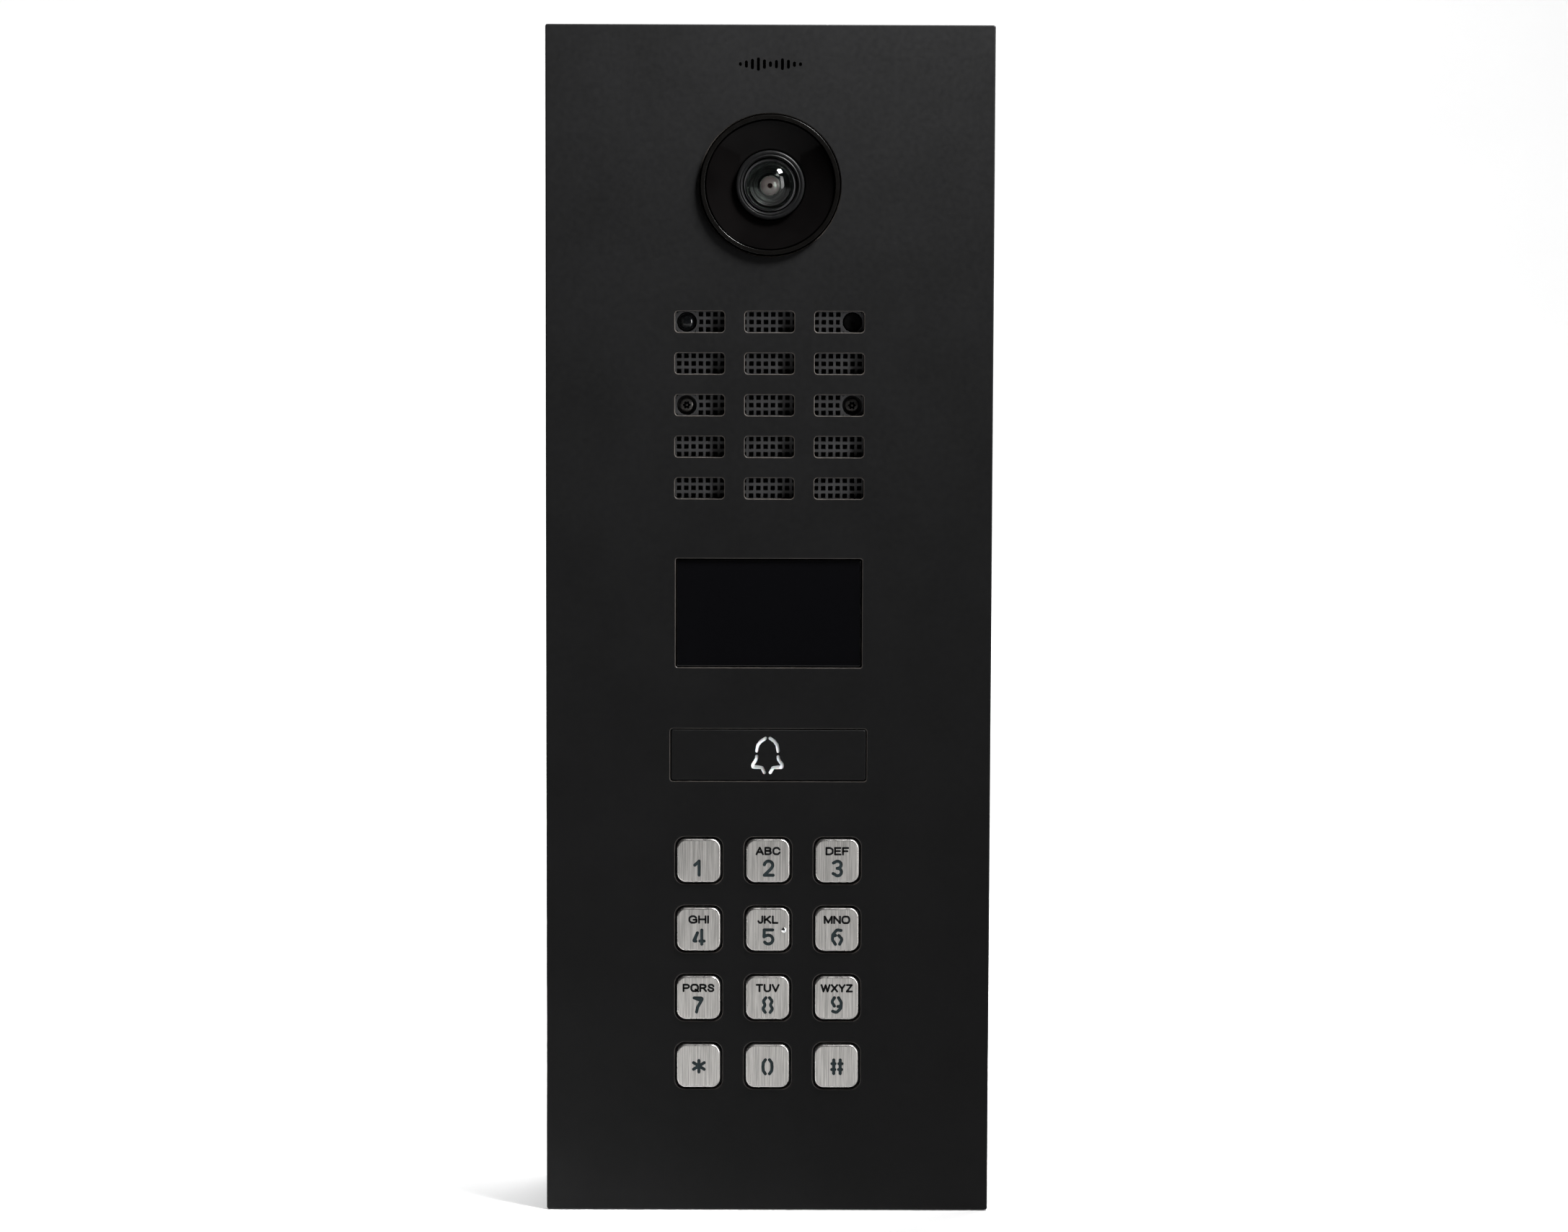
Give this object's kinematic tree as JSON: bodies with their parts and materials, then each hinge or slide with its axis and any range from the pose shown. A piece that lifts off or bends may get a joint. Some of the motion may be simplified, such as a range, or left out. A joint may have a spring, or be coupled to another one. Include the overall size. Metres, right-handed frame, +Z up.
{
  "type": "door intercom panel",
  "caption": "Flush wall door intercom: black steel plate with camera, slotted speech grille, display, bell call button and steel keypad on a sheet-metal wall box.",
  "frame": {"origin": "centre of the mounting box's flat rear face, where it stands against the back of the wall recess", "axes": "+Z up, +X to the right of a person facing the panel, +Y into the wall, so the front plate faces -Y"},
  "size_m": [0.12, 0.0511, 0.32],
  "materials": {
    "black_coat": "satin black powder coat on steel",
    "steel_key": "stainless steel, brushed from top to bottom",
    "zinc_sheet": "zinc-plated sheet steel",
    "screw_steel": "black-oxide steel",
    "black_plastic": "fine-grained black moulding",
    "gloss_black": "polished smoked black",
    "lens": "clear polished",
    "rubber": "matt black",
    "silicone": "matt grey",
    "diffuser": "frosted white",
    "board": "glass-fibre circuit board with solder resist",
    "felt": "thin black sheet",
    "paper_cone": "pressed paper"
  },
  "bodies": {
    "panel": {"front_plate": "black_coat", "plate_gasket": "rubber", "mounting_box": "zinc_sheet", "hanging_hook": "zinc_sheet", "fixing_bracket": "zinc_sheet", "fixing_screw_left": "screw_steel", "fixing_screw_right": "screw_steel", "cable_grommet_top": "rubber", "cable_grommet_bottom": "rubber", "earth_screw": "zinc_sheet", "camera_bezel": "black_plastic", "camera_seal": "rubber", "ir_window": "gloss_black", "lens_collar": "black_plastic", "lens_glass": "lens", "lens_barrel": "black_plastic", "inner_lens": "lens", "ir_led_board": "board", "sensor_board": "board", "camera_housing": "black_plastic", "grille_insert": "black_plastic", "acoustic_mesh": "felt", "light_sensor": "lens", "microphone": "zinc_sheet", "microphone_boot": "rubber", "speaker_frame": "zinc_sheet", "speaker_cone": "paper_cone", "speaker_magnet": "zinc_sheet", "speaker_chamber": "black_plastic", "display_window": "gloss_black", "display_seal": "rubber", "display_frame": "black_plastic", "lcd_panel": "gloss_black", "call_button_spring_left": "zinc_sheet", "call_button_spring_right": "zinc_sheet", "call_button_switch": "black_plastic", "call_button_board": "board", "call_button_housing": "black_plastic", "keypad_frame": "black_plastic", "keypad_mat": "silicone", "keypad_board": "board", "rear_cover": "black_plastic", "main_board": "board", "terminal_block": "silicone", "keypad_ribbon": "felt"},
    "call_button": {"call_button_cap": "black_coat", "bell_light_guide": "diffuser", "call_button_carrier": "black_plastic"},
    "key_1_button": {"key_1": "steel_key"},
    "key_2_button": {"key_2": "steel_key"},
    "key_3_button": {"key_3": "steel_key"},
    "key_4_button": {"key_4": "steel_key"},
    "key_5_button": {"key_5": "steel_key"},
    "key_6_button": {"key_6": "steel_key"},
    "key_7_button": {"key_7": "steel_key"},
    "key_8_button": {"key_8": "steel_key"},
    "key_9_button": {"key_9": "steel_key"},
    "key_star_button": {"key_star": "steel_key"},
    "key_0_button": {"key_0": "steel_key"},
    "key_hash_button": {"key_hash": "steel_key"}
  },
  "joints": [
    {"name": "call_button_press", "type": "slide", "parent": "panel", "child": "call_button", "axis": [0, 1, 0], "range_m": [0, 0.0008], "stiffness_N_per_m": 600, "springref_m": -0.0015, "deforming": ["call_button_spring_left", "call_button_spring_right"]},
    {"name": "key_1_press", "type": "slide", "parent": "panel", "child": "key_1_button", "axis": [0, 1, 0], "range_m": [0, 0.001], "stiffness_N_per_m": 500, "springref_m": -0.0015},
    {"name": "key_2_press", "type": "slide", "parent": "panel", "child": "key_2_button", "axis": [0, 1, 0], "range_m": [0, 0.001], "stiffness_N_per_m": 500, "springref_m": -0.0015},
    {"name": "key_3_press", "type": "slide", "parent": "panel", "child": "key_3_button", "axis": [0, 1, 0], "range_m": [0, 0.001], "stiffness_N_per_m": 500, "springref_m": -0.0015},
    {"name": "key_4_press", "type": "slide", "parent": "panel", "child": "key_4_button", "axis": [0, 1, 0], "range_m": [0, 0.001], "stiffness_N_per_m": 500, "springref_m": -0.0015},
    {"name": "key_5_press", "type": "slide", "parent": "panel", "child": "key_5_button", "axis": [0, 1, 0], "range_m": [0, 0.001], "stiffness_N_per_m": 500, "springref_m": -0.0015},
    {"name": "key_6_press", "type": "slide", "parent": "panel", "child": "key_6_button", "axis": [0, 1, 0], "range_m": [0, 0.001], "stiffness_N_per_m": 500, "springref_m": -0.0015},
    {"name": "key_7_press", "type": "slide", "parent": "panel", "child": "key_7_button", "axis": [0, 1, 0], "range_m": [0, 0.001], "stiffness_N_per_m": 500, "springref_m": -0.0015},
    {"name": "key_8_press", "type": "slide", "parent": "panel", "child": "key_8_button", "axis": [0, 1, 0], "range_m": [0, 0.001], "stiffness_N_per_m": 500, "springref_m": -0.0015},
    {"name": "key_9_press", "type": "slide", "parent": "panel", "child": "key_9_button", "axis": [0, 1, 0], "range_m": [0, 0.001], "stiffness_N_per_m": 500, "springref_m": -0.0015},
    {"name": "key_star_press", "type": "slide", "parent": "panel", "child": "key_star_button", "axis": [0, 1, 0], "range_m": [0, 0.001], "stiffness_N_per_m": 500, "springref_m": -0.0015},
    {"name": "key_0_press", "type": "slide", "parent": "panel", "child": "key_0_button", "axis": [0, 1, 0], "range_m": [0, 0.001], "stiffness_N_per_m": 500, "springref_m": -0.0015},
    {"name": "key_hash_press", "type": "slide", "parent": "panel", "child": "key_hash_button", "axis": [0, 1, 0], "range_m": [0, 0.001], "stiffness_N_per_m": 500, "springref_m": -0.0015}
  ]
}
